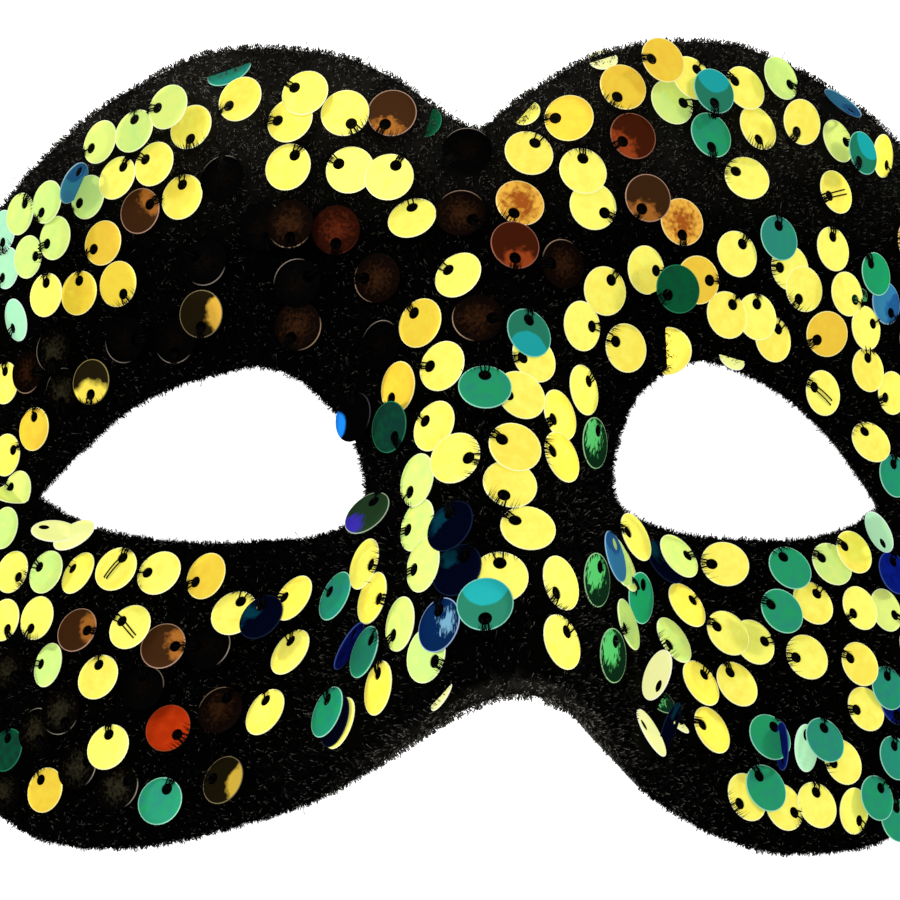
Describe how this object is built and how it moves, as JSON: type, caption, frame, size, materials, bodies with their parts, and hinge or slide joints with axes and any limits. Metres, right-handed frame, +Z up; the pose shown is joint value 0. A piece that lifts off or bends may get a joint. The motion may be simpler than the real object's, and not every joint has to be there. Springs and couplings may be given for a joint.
{
  "type": "sequin masquerade mask",
  "caption": "Half mask for the upper face, velvet over a moulded form with a raised nose and almond eye holes, scattered with small round sequins, lying face up.",
  "frame": {"origin": "on the surface the mask lies on, under the middle of its box", "axes": "+Z up, out of the front of the mask; +Y towards the brow, -Y towards the nose arch; +X to the right as seen from above"},
  "size_m": [0.1505, 0.0973, 0.0837],
  "materials": {
    "backing": "matt",
    "velvet": "black plush pile",
    "sequins": "gloss, yellow and gold with green, blue and dark ones"
  },
  "bodies": {
    "root": {"moulded_backing": "backing", "velvet_cover": "velvet", "sequin_run_01": "sequins", "sequin_run_02": "sequins", "sequin_run_03": "sequins", "sequin_run_04": "sequins", "sequin_run_05": "sequins", "sequin_run_06": "sequins", "sequin_run_07": "sequins", "sequin_run_08": "sequins", "sequin_run_09": "sequins", "sequin_run_10": "sequins", "sequin_run_11": "sequins", "sequin_run_12": "sequins", "sequin_run_13": "sequins", "sequin_run_14": "sequins", "sequin_run_15": "sequins", "sequin_run_16": "sequins", "sequin_run_17": "sequins", "sequin_run_18": "sequins", "sequin_run_19": "sequins", "sequin_run_20": "sequins", "sequin_run_21": "sequins", "sequin_run_22": "sequins", "sequin_run_23": "sequins", "sequin_run_24": "sequins", "sequin_run_25": "sequins", "sequin_run_26": "sequins", "sequin_run_27": "sequins", "sequin_run_28": "sequins", "sequin_run_29": "sequins", "sequin_run_30": "sequins", "sequin_run_31": "sequins", "sequin_run_32": "sequins", "sequin_run_33": "sequins", "sequin_run_34": "sequins"}
  },
  "joints": []
}
